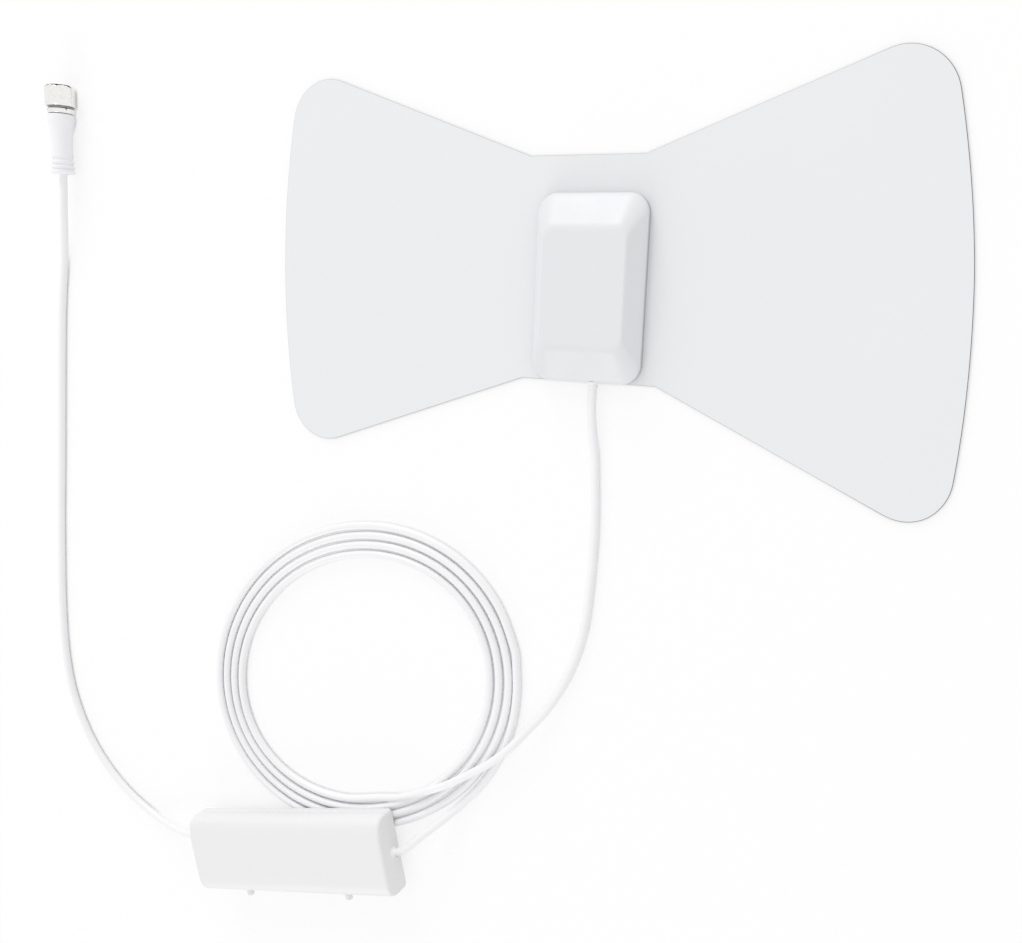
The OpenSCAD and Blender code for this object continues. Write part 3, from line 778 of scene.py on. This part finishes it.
@dataclass
class Housing:
    """Bevelled cover at the panel's waist: an upright rim, four bevels and a flat bare front."""

    at: Flat = (4.0, -6.5)
    size: Flat = (40.0, 65.0)
    front: Flat = (30.5, 41.0)
    foot_z: float = 1.0
    rim_z: float = 4.5
    roof_z: float = 11.6
    wall: float = 1.6
    corner_r: float = 7.0
    lost_r: float = 3.0
    inner_round: float = 0.6
    rim_soft: float = 1.3
    front_soft: float = 0.14
    soft_steps: int = 8
    steps: int = 14

    def level(self, inset: float, z: float, share: float) -> list[Point]:
        """One ring of the cover at a height, a share of the way from the rim to the front."""
        w = self.size[0] + (self.front[0] - self.size[0]) * share - 2 * inset
        h = self.size[1] + (self.front[1] - self.size[1]) * share - 2 * inset
        r = self.corner_r - self.lost_r * share - inset * self.inner_round
        ring = rect_ring(w, h, r, z, self.steps)
        return [(x + self.at[0] * MM, y + self.at[1] * MM, height) for x, y, height in ring]

    def levels(self, inset: float, foot: float, top: float) -> list[list[Point]]:
        """Rings of one skin of the cover, from its foot to its flat front."""
        rise, low, high = top - self.rim_z, self.rim_soft, self.front_soft
        parts = [k / self.soft_steps for k in range(self.soft_steps + 1)]
        rows = [(foot, 0.0)]
        rows += [(self.rim_z + low * (2 * t - 1), low / rise * t * t) for t in parts]
        rows += [(top - rise * high * (1 - t) ** 2, 1 + high * (2 * t - 1)) for t in parts]
        return [self.level(inset, z, share) for z, share in rows]

    def build(self) -> list[Piece]:
        """Makes the cover as one closed shell."""
        inner = self.levels(self.wall, self.foot_z, self.roof_z - self.wall)
        outer = self.levels(0.0, self.foot_z, self.roof_z)
        cover = weighted(piece_of("housing_shell", skin(inner[::-1] + outer), 50.0))
        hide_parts("housing_cover")
        cupboard.dress(cover, Kind.SHELL, "housing_white")
        return [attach(cover, "root")]


# Leads


# Height of the middle of a lead that lies on the table, in mm
REST_Z = 1.6


def route(*points: Flat | Point) -> list[Point]:
    """A lead's route in metres, from places in mm with a height where the lead doesn't lie on the table."""
    return [(x * MM, y * MM, (high[0] if high else REST_Z) * MM) for x, y, *high in points]


ANTENNA_ROUTE = route(
    (7, -38.6, 2.9), (7, -47, 2.9), (7.5, -55, 2.4), (8.6, -64, 1.8), (9.3, -75), (10, -88), (10, -101),
    (9.4, -114), (8.4, -127), (5.7, -140), (1.2, -152), (-4.6, -163.2, 2.4), (-12, -173, 4),
    (-19, -181.6, 4.9), (-27, -189.4, 4.9), (-36, -196.2, 4.9), (-45.8, -203, 4.9), (-56.5, -209, 4),
    (-67.2, -214.5, 2.2),
)
TAIL_ROUTE = route(
    (-18.3, -151.2), (-17.9, -161), (-19, -171.8), (-21.8, -182.4), (-26.4, -192.3), (-31.9, -201.4),
    (-37.3, -208.3, 1.8), (-43, -214.6, 3.1), (-49.4, -221, 5.4), (-55.7, -227, 7.6),
    (-60.8, -232.3, 8.5), (-65, -235.1, 8.6), (-69.6, -236.4, 8.6),
)
TV_ROUTE = route(
    (-162.3, -253.4, 8.6), (-166.9, -254.5, 8.6), (-173.6, -256, 8), (-181.9, -256.9, 6.2),
    (-190.7, -256.9, 4), (-199.6, -255.5, 2.2), (-208.1, -252.4), (-216, -248), (-223.4, -242.6),
    (-230, -236.5), (-235.95, -229.6), (-241.1, -222), (-245.3, -213.8), (-248.85, -204.7),
    (-251.35, -194.7), (-252.9, -183.3), (-253.6, -170.2), (-253.6, -153.1), (-253, -136), (-252.3, -119),
    (-251.3, -102), (-250.3, -85), (-249.4, -68), (-248.5, -51), (-247.5, -34), (-246.15, -17),
    (-244.2, -3, 1.9), (-241.7, 9, 3.6), (-239.8, 20, 5.2), (-239, 31, 5.55), (-239, 43, 5.55),
)


@dataclass
class Coil:
    """Flat oval coil in which the antenna lead lies, turn beside turn, in metres."""

    centre: Flat = (-0.0898, -0.1688)
    long_half: float = 0.0606
    short_half: float = 0.0492
    pitch_long: float = 0.0041
    pitch_short: float = 0.0038
    turned_by: float = math.radians(34.0)
    first: float = math.radians(-106.0)
    turns: float = 3.75
    height: float = 0.0016
    per_turn: int = 20

    def point(self, done: float) -> Point:
        """The coil's centreline after so many turns, clockwise from above."""
        angle = self.first - 2 * math.pi * done
        u = (self.long_half + self.pitch_long * done) * math.cos(angle)
        v = (self.short_half + self.pitch_short * done) * math.sin(angle)
        c, s = math.cos(self.turned_by), math.sin(self.turned_by)
        return (self.centre[0] + u * c - v * s, self.centre[1] + u * s + v * c, self.height)

    def points(self) -> list[Point]:
        """The whole centreline, from the inside out."""
        count = round(self.turns * self.per_turn)
        return [self.point(self.turns * i / count) for i in range(count + 1)]


@dataclass
class Lead:
    """A coaxial lead along a route."""

    name: str
    route: Sequence[Point]
    diameter: float = 0.0032

    def build(self) -> Piece:
        """One open curve through the route's points, as thick as the lead."""
        curve = bpy.data.curves.new(self.name, "CURVE")
        curve.dimensions = "3D"
        curve.bevel_depth = self.diameter / 2
        curve.bevel_resolution = 5
        curve.resolution_u = 8
        curve.use_fill_caps = True
        curve.twist_mode = "MINIMUM"
        spline = curve.splines.new("BEZIER")
        spline.bezier_points.add(len(self.route) - 1)
        for i, (knot, here) in enumerate(zip(spline.bezier_points, self.route)):
            before, after = self.route[max(i - 1, 0)], self.route[min(i + 1, len(self.route) - 1)]
            tangent = (Vector(after) - Vector(before)).normalized()
            spot = Vector(here)
            knot.handle_left_type = knot.handle_right_type = "FREE"
            knot.co = spot
            knot.handle_left = spot - tangent * ((spot - Vector(before)).length / 3)
            knot.handle_right = spot + tangent * ((Vector(after) - spot).length / 3)
        piece = placed(self.name, curve)
        cupboard.dress(piece, Kind.JACKET, "lead_jacket")
        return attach(piece, "root")

    def length(self) -> float:
        """Length of the route's straight pieces, in metres."""
        return sum((Vector(b) - Vector(a)).length for a, b in zip(self.route, self.route[1:]))


@dataclass
class Relief:
    """Short soft strain relief: a neck in the wall that tapers to the lead outside it."""

    name: str
    node: str
    at: Point
    heading: float
    out: float = 1.8
    inside: float = 4.0
    neck_r: float = 2.3
    lead_r: float = 1.6

    def profile(self) -> list[Flat]:
        """Half section round the material, in mm, with the wall at 0."""
        bore, neck, tip, out = self.lead_r + 0.03, self.neck_r, self.lead_r + 0.2, self.out
        return [
            (bore, -self.inside), (neck, -self.inside),
            *near(neck, 0.0, (0, 0.08), (-0.04, 0.2), (-0.14, 0.34), (-0.28, 0.5), (-0.4, 0.75)),
            (tip + 0.06, 1.2), *near(tip, out, (0, -0.25), (-0.04, -0.08), (-0.12, 0)), (bore, out),
        ]

    def build(self) -> Piece:
        """Turns the profile and lays it along its heading in the table's plane."""
        piece = weighted(piece_of(self.name, turned_mesh(self.profile(), 40), 35.0))
        moved(piece, shift(*self.at) @ spin(self.heading, "Z") @ spin(90, "Y"))
        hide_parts(self.node)
        cupboard.dress(piece, Kind.SOFT, "soft_white")
        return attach(piece, "root")


# The amplifier box


# The box's softened ends: how far in, as a share of their length, and how far the section shrinks, in mm
END_EASE = ((0.0, 1.1), (0.08, 0.72), (0.3, 0.35), (0.6, 0.12), (1.0, 0.0))


def hand(side: int) -> str:
    """Left or right, for a piece's name."""
    return "left" if side < 0 else "right"


@dataclass
class Amplifier:
    """In-line amplifier: an arched cover on a shallow base with feet, both bare."""

    at: Flat = (-115.2, -247.8)
    turn: float = 14.0
    length: float = 100.0
    width: float = 34.0
    height: float = 13.6
    base_h: float = 5.4
    foot_h: float = 3.2
    foot_w: float = 6.5
    foot_out: float = 1.2
    foot_in: float = 4.0
    foot_up: float = 1.2
    foot_dx: float = 25.0
    nub_r: float = 1.5
    nub_out: float = 2.2
    nub_in: float = 1.2
    nub_z: float = 12.0
    nub_dx: float = 26.0
    exit_dy: float = 6.0
    end_soft: float = 1.4
    groove: float = 0.35
    screw_at: Flat = (41.0, 10.5)
    screw_hole_r: float = 1.9
    well_l: float = 1.1
    side_bow: float = 0.42
    roof_bow: float = 0.62
    arch_steps: int = 36
    base_r: float = 1.6

    @property
    def axis_z(self) -> float:
        """Height of the parting plane and of both leads, in mm."""
        return self.foot_h + self.base_h

    @property
    def lay(self) -> Matrix:
        """From the box's own place, in metres, to the table."""
        return shift(*self.at) @ spin(self.turn, "Z")

    def spot(self, x: float, y: float, z: float) -> Point:
        """A place on the box as a place on the table, in mm."""
        c, s = math.cos(math.radians(self.turn)), math.sin(math.radians(self.turn))
        return (self.at[0] + x * c - y * s, self.at[1] + x * s + y * c, z)

    def cover_section(self, inset: float) -> list[Flat]:
        """Arched section of the cover, from one side over the top to the other."""
        w, z1 = self.width / 2 - inset, self.axis_z
        z2 = self.foot_h + self.height - inset
        g = self.groove
        arch = []
        for i in range(self.arch_steps + 1):
            a = math.pi * i / self.arch_steps
            u, v = math.cos(a), max(0.0, math.sin(a))
            side = math.copysign(abs(u) ** self.side_bow, u) * w
            arch.append((side, z1 + g + (z2 - z1 - g) * v**self.roof_bow))
        return [(w - g, z1), (w - 0.3 * g, z1 + 0.3 * g), *arch, (-w + 0.3 * g, z1 + 0.3 * g), (-w + g, z1)]

    def base_section(self, inset: float) -> list[Flat]:
        """Section of the base, from one side of the parting plane under the box to the other."""
        w, z0, z1 = self.width / 2 - inset, self.foot_h + inset, self.axis_z
        c, g = self.base_r, self.groove
        turns = [math.radians(15 * k) for k in range(7)]
        low = [(w - c * (1 - math.cos(a)), z0 + c * (1 - math.sin(a))) for a in turns]
        right = [(w - g, z1 - 0.01), (w - 0.3 * g, z1 - 0.3 * g), (w, z1 - g), *low]
        return right + [(-y, z) for y, z in reversed(right)]

    def along(self, section: Callable[[float], list[Flat]]) -> bmesh.types.BMesh:
        """Lofts a section from end to end, with softened ends."""
        s, half = self.end_soft, self.length / 2
        ease = [(half - back * s, inset) for back, inset in END_EASE]
        stations = [(-x, inset) for x, inset in ease] + ease[::-1]
        return skin([[(x * MM, y * MM, z * MM) for y, z in section(inset)] for x, inset in stations])

    def wells(self) -> list[Piece]:
        """Round tools that sink the four screws into the base."""
        low, high = self.foot_h - 1.0, self.foot_h + self.well_l
        tools = []
        for sx in (-1, 1):
            for sy in (-1, 1):
                well = skin(turned([(self.screw_hole_r, low), (self.screw_hole_r, high)], 32, closed=False))
                place = shift(sx * self.screw_at[0], sy * self.screw_at[1])
                tools.append(moved(piece_of("well", well), place))
        return tools

    def feet(self) -> list[Piece]:
        """Two soft feet on the long side away from the coil."""
        made = []
        for side in (-1, 1):
            w, depth = self.foot_w, self.foot_out + self.foot_in
            rows = [(0.0, 0.5), (0.12, 0.2), (0.4, 0.0), (self.foot_h + self.foot_up, 0.0)]
            rings = [rect_ring(w - 2 * inset, depth - 2 * inset, 0.9, z, 5) for z, inset in rows]
            foot = weighted(piece_of(f"box_foot_{hand(side)}", skin(rings), 50.0))
            y = -self.width / 2 - self.foot_out + depth / 2
            moved(foot, self.lay @ shift(side * self.foot_dx, y))
            cupboard.dress(foot, Kind.SOFT, "soft_white")
            made.append(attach(foot, "root"))
        return made

    def nubs(self) -> list[Piece]:
        """Two round nubs on the cover's side, above the feet."""
        r, out = self.nub_r, self.nub_out
        made = []
        for side in (-1, 1):
            profile = [(r, -self.nub_in), (r, out - 0.5), (r - 0.14, out - 0.2), (r - 0.45, out - 0.03)]
            nub = piece_of(f"box_nub_{hand(side)}", skin(turned(profile, 24, closed=False)))
            spot = shift(side * self.nub_dx, -self.width / 2, self.nub_z)
            moved(nub, self.lay @ spot @ spin(90, "X"))
            cupboard.dress(nub, Kind.BOX, "amp_white")
            made.append(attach(nub, "root"))
        return made

    def build(self) -> list[Piece]:
        """Makes the shells, the feet and both strain reliefs."""
        cover = weighted(piece_of("box_cover", self.along(self.cover_section), 50.0))
        base = piece_of("box_base", self.along(self.base_section), 50.0)
        cut_with(base, self.wells())
        weighted(base)
        for piece, node in ((cover, "amp_cover"), (base, "amp_base")):
            moved(piece, self.lay)
            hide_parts(node)
            cupboard.dress(piece, Kind.BOX, "amp_white")
            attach(piece, "root")
        half = self.length / 2
        entry, leave = self.spot(half, 0, self.axis_z), self.spot(-half, self.exit_dy, self.axis_z)
        reliefs = [
            Relief("box_relief_in", "amp_input_relief", entry, self.turn).build(),
            Relief("box_relief_out", "amp_output_relief", leave, self.turn + 180).build(),
        ]
        return [cover, base, *self.feet(), *self.nubs(), *reliefs]


# The plug


@dataclass
class Plug:
    """Screw-on coaxial plug: a moulded grip, and a hexagonal nut that turns on the metal body."""

    x: float = -239.0
    z: float = 5.55
    start_y: float = 35.4
    grip_l: float = 24.6
    front_r: float = 5.45
    mid_r: float = 4.4
    shoulder_l: float = 2.6
    pocket_r: float = 3.3
    pocket_l: float = 9.0
    lead_bore: float = 1.63
    ring_pitch: float = 2.0
    rings_l: float = 7.4
    nut_y: float = 60.2
    collar_l: float = 2.9
    hex_l: float = 8.6
    across_flats: float = 11.1
    thread_r: float = 4.45
    thread_pitch: float = 0.8
    thread_depth: float = 0.34
    thread_in: float = 0.5
    thread_off: float = 1.2
    body_bore: float = 3.4
    corner_cut: float = 1.145
    nut_steps: int = 180

    @property
    def lay(self) -> Matrix:
        """Turns a piece made along Z so that it points along Y at the plug's axis."""
        return shift(self.x, 0, self.z) @ spin(-90, "X")

    def grip_profile(self) -> list[Flat]:
        """Half section of the grip, with three rings at its back, a waist and a front shoulder."""
        y0, m, f = self.start_y, self.mid_r, self.front_r
        front = y0 + self.grip_l
        line: list[Flat] = [(self.lead_bore, y0), (m - 0.75, y0), (m - 0.5, y0 + 0.12)]
        for i in range(3):
            s = y0 + 0.1 + self.ring_pitch * i
            crest = m + 0.3 - 0.05 * i
            line += near(crest, s, (-0.22, 0.12), (-0.06, 0.3), (0, 0.6), (0, 1.05))
            line += near(crest, s, (-0.12, 1.3), (-0.5, 1.42))
            line += near(m, s, (-0.48, 1.5), (-0.48, 1.86))
        back = y0 + self.rings_l
        line += near(m, back, (-0.3, -1.15), (-0.05, -0.8), (0, 0))
        waist = near(m, 0.0, (-0.03, 0.2), (0, 0.4), (0.12, 0.58), (0.38, 0.74), (0.68, 0.87))
        waist += [(f - 0.12, 0.955), (f, 1.0)]
        line += [(r, back + (front - self.shoulder_l - back) * t) for r, t in waist]
        line += near(f, front, (0, -0.55), (-0.08, -0.25), (-0.3, -0.06), (-0.5, 0))
        floor = front - self.pocket_l
        return line + [(self.pocket_r, front), (self.pocket_r, floor), (self.lead_bore, floor)]

    def hex_radius(self, degrees: float) -> float:
        """Distance of the hexagon's side from the axis in a direction, with softly rounded corners."""
        apothem = self.across_flats / 2
        turn = degrees % 60 - 30
        return min(apothem / math.cos(math.radians(turn)), apothem * self.corner_cut)

    def nut_rings(self) -> list[list[Point]]:
        """Rings round the nut's whole section: outside forwards, then back through the thread."""
        a, r = self.across_flats / 2, self.thread_r
        start, mid = self.nut_y, self.nut_y + self.collar_l
        end = mid + self.hex_l
        collar = [
            (self.body_bore, start), *near(a, start, (-0.55, 0), (-0.3, 0.1), (-0.12, 0.35), (-0.1, 0.6)),
            *near(a, mid, (-0.1, -1.2), (-0.16, -1.0), (-0.45, -0.72), (-0.6, -0.6), (-0.6, 0.02)),
        ]
        caps = [
            *near(a, mid, (-0.1, 0), (0.16, 0.12), (0.5, 0.34), (0.86, 0.62), (1.0, 0.8)),
            *near(a, end, (1.0, -1.25), (0.86, -1.0), (0.55, -0.7), (0.2, -0.36), (-0.1, -0.1), (-0.25, 0)),
        ]
        bore = near(r, end, (0.35, 0), (0.05, -0.3))
        first, deep = end - self.thread_in, self.thread_depth
        count = int((self.hex_l - self.thread_off) / self.thread_pitch)
        for i in range(count):
            bore += near(r, first - i * self.thread_pitch, (0, 0), (0, -0.12), (deep, -0.42), (deep, -0.5))
        bore += [(r, first - count * self.thread_pitch), (r, mid + 0.02)]
        bore += [(self.body_bore, mid), (self.body_bore, start)]
        sides = [self.hex_radius(360 * k / self.nut_steps) for k in range(self.nut_steps)]
        hexagon = [ring_of([min(cap, side) for side in sides], y) for cap, y in caps]
        round_part, thread = (turned(part, self.nut_steps, closed=False) for part in (collar, bore))
        return round_part + hexagon + thread

    def nut(self) -> Piece:
        """The hexagonal nut with its collar and thread, on the body that turns."""
        bm = weld(skin(self.nut_rings(), ends=False))
        piece = weighted(moved(piece_of("plug_nut", bm, 28.0), self.lay))
        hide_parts("coupling_nut")
        cupboard.dress(piece, Kind.NICKEL, "nickel")
        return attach(piece, "nut")

    def build(self) -> list[Piece]:
        """Makes the grip and the nut."""
        grip = weighted(moved(piece_of("plug_moulding", turned_mesh(self.grip_profile(), 72)), self.lay))
        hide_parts("plug_grip")
        cupboard.dress(grip, Kind.SOFT, "soft_white")
        return [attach(grip, "root"), self.nut()]


# Nodes that keep their CAD shape


CARRIED: dict[str, tuple[Kind, str]] = {
    "left_element": (Kind.FOIL, "foil"),
    "right_element": (Kind.FOIL, "foil"),
    "housing_base": (Kind.BASE, "housing_white"),
    "antenna_board": (Kind.BOARD, "circuit_board"),
    "ring_core": (Kind.FERRITE, "ferrite"),
    "left_terminal": (Kind.BRASS, "brass_rivet"),
    "right_terminal": (Kind.BRASS, "brass_rivet"),
    "housing_screws": (Kind.STEEL, "screw_steel"),
    "amp_board": (Kind.BOARD, "circuit_board"),
    "amp_shield": (Kind.TIN, "tin_can"),
    "amp_screws": (Kind.STEEL, "screw_steel"),
    "plug_body": (Kind.DULL_NICKEL, "nickel"),
    "plug_insulator": (Kind.CORE, "insulator"),
    "centre_pin": (Kind.COPPER, "copper"),
}


def dress_carried() -> None:
    """Gives every CAD node that stays in sight its finish."""
    for name, (kind, slot) in CARRIED.items():
        cupboard.dress(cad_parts[name], kind, slot)
        log.info("finish %s on %s", kind.value.name, name)


# Table, light and camera


@dataclass
class Studio:
    """White table under a soft sky, two low lamps beside it, a dark card and the photograph's camera."""

    eye: Point = (0.121913, -0.011774, 0.337733)
    look: Point = (math.radians(-8.7173), math.radians(23.7712), math.radians(2.3260))
    sensor: float = 36.0
    focal_px: float = 1000.0
    photo_px: float = 1022.0
    sky: float = 0.83
    lamps: tuple[tuple[str, float, Point], ...] = (
        ("upper_lamp", 0.10, (-0.30, 0.88, 0.36)),
        ("lower_lamp", 0.06, (-0.25, -0.90, 0.36)),
    )
    middle: Point = (-0.06, -0.1, 0.0)
    lamp_size: float = 1.3
    lamp_far: float = 2.6
    table_size: Flat = (8.0, 8.0)
    table_t: float = 0.02
    table_gap: float = 0.0002
    table_paint: Colour = (0.86, 0.86, 0.86)
    table_glow: float = 1.06
    floor_shade: float = 0.3
    contact_reach: float = 0.0011
    card_at: Point = (-0.25, 0.1215, 0.0155)
    card_size: Flat = (0.2, 0.095)
    card_t: float = 0.0005
    card_slope: float = math.radians(17.0)

    def seen_directly(self, bench: Bench) -> Wire:
        """1 for rays from the camera and from gloss or glass, and 0 for those that light the object."""
        names = ("Is Camera Ray", "Is Glossy Ray", "Is Transmission Ray")
        camera, gloss, glass = [bench.node("ShaderNodeLightPath", output=name) for name in names]
        return (camera + gloss + glass) > 0.5

    def world(self) -> None:
        """Plain sky that lights the object and shows as white."""
        world = bpy.data.worlds.new("studio_sky")
        world.use_nodes = True
        bpy.context.scene.world = world
        bench = Bench(world.node_tree)
        direct = self.seen_directly(bench)
        strength = direct * (1.0 - self.sky) + self.sky
        sky = bench.node("ShaderNodeBackground", {}, {"Color": (1, 1, 1, 1), "Strength": strength})
        bench.output(sky, "ShaderNodeOutputWorld")

    @staticmethod
    def slab(name: str, size: Flat, thick: float) -> Piece:
        """Flat slab round the origin, with its top at 0."""
        w, d = size[0] / 2, size[1] / 2
        ring = [(-w, -d), (w, -d), (w, d), (-w, d)]
        return piece_of(name, skin([[(x, y, z) for x, y in ring] for z in (-thick, 0.0)]))

    @staticmethod
    def paint(piece: Piece, name: str) -> Bench:
        """Gives a piece a new empty material."""
        material, bench = fresh(name)
        piece.data.materials.append(material)
        return bench

    def table(self) -> None:
        """Wide floor that shows white and keeps a soft shadow."""
        floor = self.slab("table", self.table_size, self.table_t)
        floor.location.z = -self.table_gap
        bench = self.paint(floor, "table_white")
        paint = bench.node("ShaderNodeBsdfDiffuse", {}, {"Color": (*self.table_paint, 1)})
        glow = bench.node("ShaderNodeEmission", {}, {"Color": (1, 1, 1, 1), "Strength": self.table_glow})
        reach = {"Distance": self.contact_reach}
        # ambient occlusion: painted contact shade on the floor next to the pieces and between the coil's
        # turns
        openness = bench.node("ShaderNodeAmbientOcclusion", {"samples": 8}, reach, "AO")
        share = self.seen_directly(bench) * openness * (1.0 - self.floor_shade)
        bench.output(bench.node("ShaderNodeMixShader", {}, {0: share, 1: paint, 2: glow}))

    def card(self) -> None:
        """Dark sloping card beyond the plug, seen only in the gloss of its open end."""
        card = self.slab("dark_card", self.card_size, self.card_t)
        card.location = self.card_at
        card.rotation_euler = (self.card_slope, 0.0, 0.0)
        card.visible_camera = card.visible_diffuse = card.visible_transmission = card.visible_shadow = False
        bench = self.paint(card, "card_black")
        bench.output(bench.node("ShaderNodeEmission", {}, {"Color": (0, 0, 0, 1), "Strength": 0.0}))

    def lamp(self, name: str, share: float, place: Point) -> None:
        """One broad lamp, which gives a share of the light on a level surface."""
        data = bpy.data.lights.new(name, "AREA")
        data.shape = "DISK"
        data.size = self.lamp_size
        direction = Vector(place).normalized()
        data.energy = share * math.pi**2 * self.lamp_far**2 / direction.z
        lamp = placed(name, data)
        lamp.location = Vector(self.middle) + direction * self.lamp_far
        lamp.rotation_mode = "QUATERNION"
        lamp.rotation_quaternion = direction.to_track_quat("Z", "Y")

    def camera(self) -> None:
        """The photograph's camera."""
        data = bpy.data.cameras.new("photo_camera")
        data.sensor_width = self.sensor
        data.sensor_fit = "HORIZONTAL"
        data.lens = self.focal_px * self.sensor / self.photo_px
        data.clip_start, data.clip_end = 0.01, 20.0
        camera = placed("photo_camera", data)
        camera.location = self.eye
        camera.rotation_euler = self.look
        bpy.context.scene.camera = camera

    def build(self) -> None:
        """Sets up the light, the table, the card and the camera."""
        bpy.context.scene.view_settings.view_transform = "Standard"
        self.world()
        self.table()
        self.card()
        for name, share, place in self.lamps:
            self.lamp(name, share, place)
        self.camera()


# The whole antenna


def build_leads() -> None:
    """Makes both leads and logs the length of each route.
    """
    coil = Coil()
    antenna = Lead("antenna_lead_jacket", [*ANTENNA_ROUTE, *coil.points(), *TAIL_ROUTE])
    piece = antenna.build()
    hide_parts("antenna_lead", "lead_coil", "lead_tail")
    log.info("antenna lead: %.3f m of route", antenna.length())
    television = Lead("television_lead_jacket", TV_ROUTE)
    piece = television.build()
    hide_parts("tv_lead")
    log.info("television lead: %.3f m of route", television.length())


def main() -> None:
    """Builds the studio and the antenna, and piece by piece."""
    logging.basicConfig(level=logging.INFO, format="%(message)s")
    Studio().build()
    box = Amplifier()
    box_pieces, plug_pieces = box.build(), Plug().build()
    build_leads()
    others = [*Panel().build(), *Housing().build()]
    relief = Relief("housing_relief", "lead_relief", (7.0, -39.0, 2.9), -90.0, inside=0.4, neck_r=1.9)
    others.append(relief.build())
    for piece in [*box_pieces, *plug_pieces, *others]:
        log.info("piece %s", piece.name)
    dress_carried()


if __name__ == "__main__":
    main()
